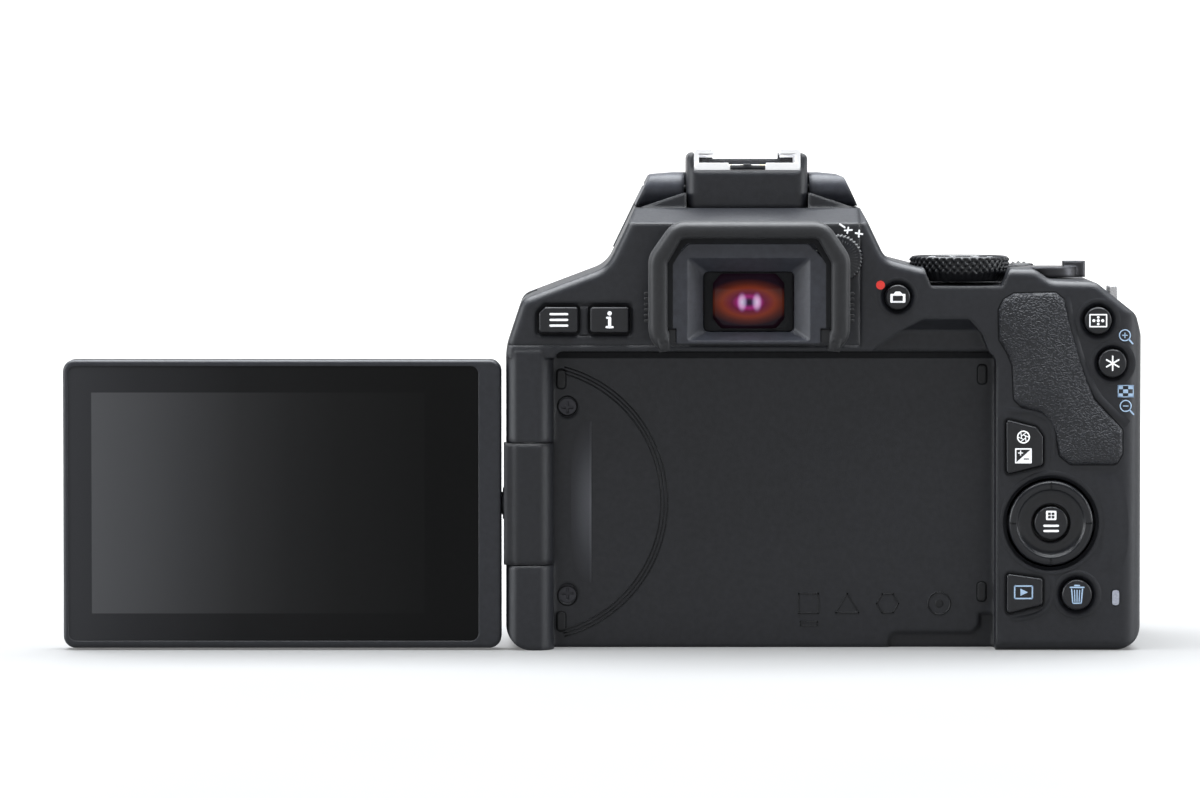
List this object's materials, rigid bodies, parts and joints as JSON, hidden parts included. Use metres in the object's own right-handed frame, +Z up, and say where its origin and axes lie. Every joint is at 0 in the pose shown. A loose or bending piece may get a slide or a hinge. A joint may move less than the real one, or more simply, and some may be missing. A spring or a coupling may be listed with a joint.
{
  "type": "dslr camera",
  "caption": "Compact single-lens reflex camera body with side-hinged tilting screen, pop-up flash, accessory shoe, bayonet mount and pressable controls.",
  "frame": {"origin": "mouth of the tripod socket on the base, straight under the optical axis", "axes": "+Z up, +Y forward out of the lens mount, +X towards the grip (to the right seen from the back)"},
  "size_m": [0.2089, 0.0701, 0.0965],
  "materials": {
    "body_plastic": "fine spark-eroded black, slightly cool",
    "button_plastic": "smooth satin black",
    "body_rubber": "leather-grained black rubber",
    "steel": "machined and lightly polished",
    "dark_screws": "blackened",
    "shutter_plastic": "semi-gloss black",
    "lever_metal": "turned, satin",
    "inner_plastic": "flat black",
    "gold_contacts": "gold plated",
    "prism_glass": "coated optical glass",
    "screen_glass": "dark gloss cover",
    "panel": "unlit display",
    "flash_lens": "ribbed diffuser",
    "lamp_lens": "clear red",
    "mirror_surface": "front-silvered",
    "sensor": "filter glass over silicon",
    "shutter_metal": "matt black",
    "board": "solder mask",
    "battery_shell": "dark grey"
  },
  "bodies": {
    "camera_body": {"rear_cover": "body_plastic", "front_cover": "body_plastic", "top_cover": "body_plastic", "base_plate": "body_plastic", "grip_rubber": "body_rubber", "thumb_rubber": "body_rubber", "lens_mount_ring": "steel", "mount_screws": "steel", "lens_contacts": "gold_contacts", "mirror_box": "inner_plastic", "pentamirror": "prism_glass", "image_sensor": "sensor", "shutter_frame": "shutter_metal", "main_board": "board", "battery": "battery_shell", "memory_card": "inner_plastic", "tripod_socket": "steel", "strap_lugs": "steel", "shoe_block": "body_plastic", "shoe_rails": "steel", "eyepiece_frame": "body_plastic", "eyecup": "body_rubber", "eyepiece_lens": "prism_glass", "cover_screws": "dark_screws", "screen_hinge_pin": "steel", "card_lamp": "lamp_lens", "terminal_block": "inner_plastic"},
    "screen_arm": {"screen_arm": "body_plastic"},
    "screen": {"screen_bezel": "body_plastic", "screen_back": "body_plastic", "screen_glass": "screen_glass", "lcd_panel": "panel"},
    "flash": {"flash_hood": "body_plastic", "flash_window": "flash_lens"},
    "mode_dial": {"mode_dial": "button_plastic"},
    "main_dial": {"main_dial": "button_plastic"},
    "power_lever": {"power_lever": "lever_metal"},
    "diopter_knob": {"diopter_knob": "button_plastic"},
    "shutter_button": {"shutter_button": "shutter_plastic"},
    "iso_button": {"iso_button": "button_plastic"},
    "set_button": {"set_button": "button_plastic"},
    "cross_key_gimbal": {"cross_key_gimbal": "inner_plastic"},
    "cross_key": {"cross_key": "button_plastic"},
    "lens_release_button": {"lens_release_button": "button_plastic"},
    "lens_lock_pin": {"lens_lock_pin": "steel"},
    "reflex_mirror": {"reflex_mirror": "mirror_surface"},
    "front_curtain": {"front_curtain": "shutter_metal"},
    "rear_curtain": {"rear_curtain": "shutter_metal"},
    "battery_door": {"battery_door": "body_plastic"},
    "port_cover": {"port_cover": "body_rubber"},
    "dc_cover": {"dc_cover": "body_rubber"},
    "menu_button": {"menu_button": "button_plastic"},
    "info_button": {"info_button": "button_plastic"},
    "live_view_button": {"live_view_button": "button_plastic"},
    "af_point_button": {"af_point_button": "button_plastic"},
    "ae_lock_button": {"ae_lock_button": "button_plastic"},
    "exposure_button": {"exposure_button": "button_plastic"},
    "playback_button": {"playback_button": "button_plastic"},
    "erase_button": {"erase_button": "button_plastic"}
  },
  "joints": [
    {"name": "screen_swing", "type": "hinge", "parent": "camera_body", "child": "screen_arm", "pos_m": [-0.04225, -0.0191, 0.0282], "axis": [0, 0, 1], "range_deg": [0, 180]},
    {"name": "screen_tilt", "type": "hinge", "parent": "screen_arm", "child": "screen", "pos_m": [-0.06, -0.0191, 0.0282], "axis": [-1, 0, 0], "range_deg": [-90, 180]},
    {"name": "flash_raise", "type": "hinge", "parent": "camera_body", "child": "flash", "pos_m": [0, -0.004, 0.0884], "axis": [1, 0, 0], "range_deg": [0, 60]},
    {"name": "mode_dial_turn", "type": "hinge", "parent": "camera_body", "child": "mode_dial", "pos_m": [0.0413, -0.0085, 0.073], "axis": [0, 0, 1], "continuous": true},
    {"name": "main_dial_turn", "type": "hinge", "parent": "camera_body", "child": "main_dial", "pos_m": [0.0545, 0.0185, 0.0674], "axis": [0, 1, 0], "continuous": true},
    {"name": "power_lever_turn", "type": "hinge", "parent": "camera_body", "child": "power_lever", "pos_m": [0.0588, -0.0035, 0.072], "axis": [0, 0, 1], "range_deg": [-35, 35]},
    {"name": "diopter_turn", "type": "hinge", "parent": "camera_body", "child": "diopter_knob", "pos_m": [0.0172, -0.024, 0.0755], "axis": [0, -1, 0], "range_deg": [-60, 60]},
    {"name": "menu_press", "type": "slide", "parent": "camera_body", "child": "menu_button", "axis": [0, 1, 0], "range_m": [0, 0.0008], "stiffness_N_per_m": 300, "springref_m": -0.0005},
    {"name": "info_press", "type": "slide", "parent": "camera_body", "child": "info_button", "axis": [0, 1, 0], "range_m": [0, 0.0008], "stiffness_N_per_m": 300, "springref_m": -0.0005},
    {"name": "live_view_press", "type": "slide", "parent": "camera_body", "child": "live_view_button", "axis": [0, 1, 0], "range_m": [0, 0.0008], "stiffness_N_per_m": 300, "springref_m": -0.0005},
    {"name": "af_point_press", "type": "slide", "parent": "camera_body", "child": "af_point_button", "axis": [0, 1, 0], "range_m": [0, 0.0008], "stiffness_N_per_m": 300, "springref_m": -0.0005},
    {"name": "ae_lock_press", "type": "slide", "parent": "camera_body", "child": "ae_lock_button", "axis": [0, 1, 0], "range_m": [0, 0.0008], "stiffness_N_per_m": 300, "springref_m": -0.0005},
    {"name": "exposure_press", "type": "slide", "parent": "camera_body", "child": "exposure_button", "axis": [0, 1, 0], "range_m": [0, 0.0008], "stiffness_N_per_m": 300, "springref_m": -0.0005},
    {"name": "playback_press", "type": "slide", "parent": "camera_body", "child": "playback_button", "axis": [0, 1, 0], "range_m": [0, 0.0008], "stiffness_N_per_m": 300, "springref_m": -0.0005},
    {"name": "erase_press", "type": "slide", "parent": "camera_body", "child": "erase_button", "axis": [0, 1, 0], "range_m": [0, 0.0008], "stiffness_N_per_m": 300, "springref_m": -0.0005},
    {"name": "set_press", "type": "slide", "parent": "camera_body", "child": "set_button", "axis": [0, 1, 0], "range_m": [0, 0.0007], "stiffness_N_per_m": 300, "springref_m": -0.0005},
    {"name": "shutter_press", "type": "slide", "parent": "camera_body", "child": "shutter_button", "axis": [0, -0.4226, -0.9063], "range_m": [0, 0.0012], "stiffness_N_per_m": 300, "springref_m": -0.0005},
    {"name": "iso_press", "type": "slide", "parent": "camera_body", "child": "iso_button", "axis": [0, 0, -1], "range_m": [0, 0.0006], "stiffness_N_per_m": 300, "springref_m": -0.0005},
    {"name": "cross_key_up_down", "type": "hinge", "parent": "camera_body", "child": "cross_key_gimbal", "pos_m": [0.0583, -0.0196, 0.0246], "axis": [1, 0, 0], "range_deg": [-3, 3], "stiffness_Nm_per_rad": 0.05},
    {"name": "cross_key_left_right", "type": "hinge", "parent": "cross_key_gimbal", "child": "cross_key", "pos_m": [0.0583, -0.0196, 0.0246], "axis": [0, 0, 1], "range_deg": [-3, 3], "stiffness_Nm_per_rad": 0.05},
    {"name": "lens_release_press", "type": "slide", "parent": "camera_body", "child": "lens_release_button", "axis": [0, -1, 0], "range_m": [0, 0.002], "stiffness_N_per_m": 300, "springref_m": -0.0005},
    {"name": "lens_lock_pin_retract", "type": "slide", "parent": "camera_body", "child": "lens_lock_pin", "axis": [0, -1, 0], "range_m": [0, 0.0016]},
    {"name": "mirror_flip", "type": "hinge", "parent": "camera_body", "child": "reflex_mirror", "pos_m": [0, 0.002, 0.0505], "axis": [1, 0, 0], "range_deg": [0, 45], "stiffness_Nm_per_rad": 0.002, "springref_deg": -17.19},
    {"name": "front_curtain_run", "type": "slide", "parent": "camera_body", "child": "front_curtain", "axis": [0, 0, -1], "range_m": [0, 0.0166], "stiffness_N_per_m": 40, "springref_m": -0.001},
    {"name": "rear_curtain_run", "type": "slide", "parent": "camera_body", "child": "rear_curtain", "axis": [0, 0, -1], "range_m": [0, 0.0172], "stiffness_N_per_m": 40, "springref_m": -0.001},
    {"name": "battery_door_open", "type": "hinge", "parent": "camera_body", "child": "battery_door", "pos_m": [0.0504, 0.012, 0.0009], "axis": [0, 1, 0], "range_deg": [0, 90]},
    {"name": "port_cover_open", "type": "hinge", "parent": "camera_body", "child": "port_cover", "pos_m": [-0.0459, 0.012, 0.032], "axis": [0, 0, -1], "range_deg": [0, 100]},
    {"name": "dc_cover_open", "type": "hinge", "parent": "camera_body", "child": "dc_cover", "pos_m": [0.0751, 0.0055, 0.028], "axis": [0, 0, 1], "range_deg": [0, 80]}
  ],
  "couplings": [
    {"joint": "lens_lock_pin_retract", "follows": "lens_release_press", "ratio": 0.8}
  ]
}
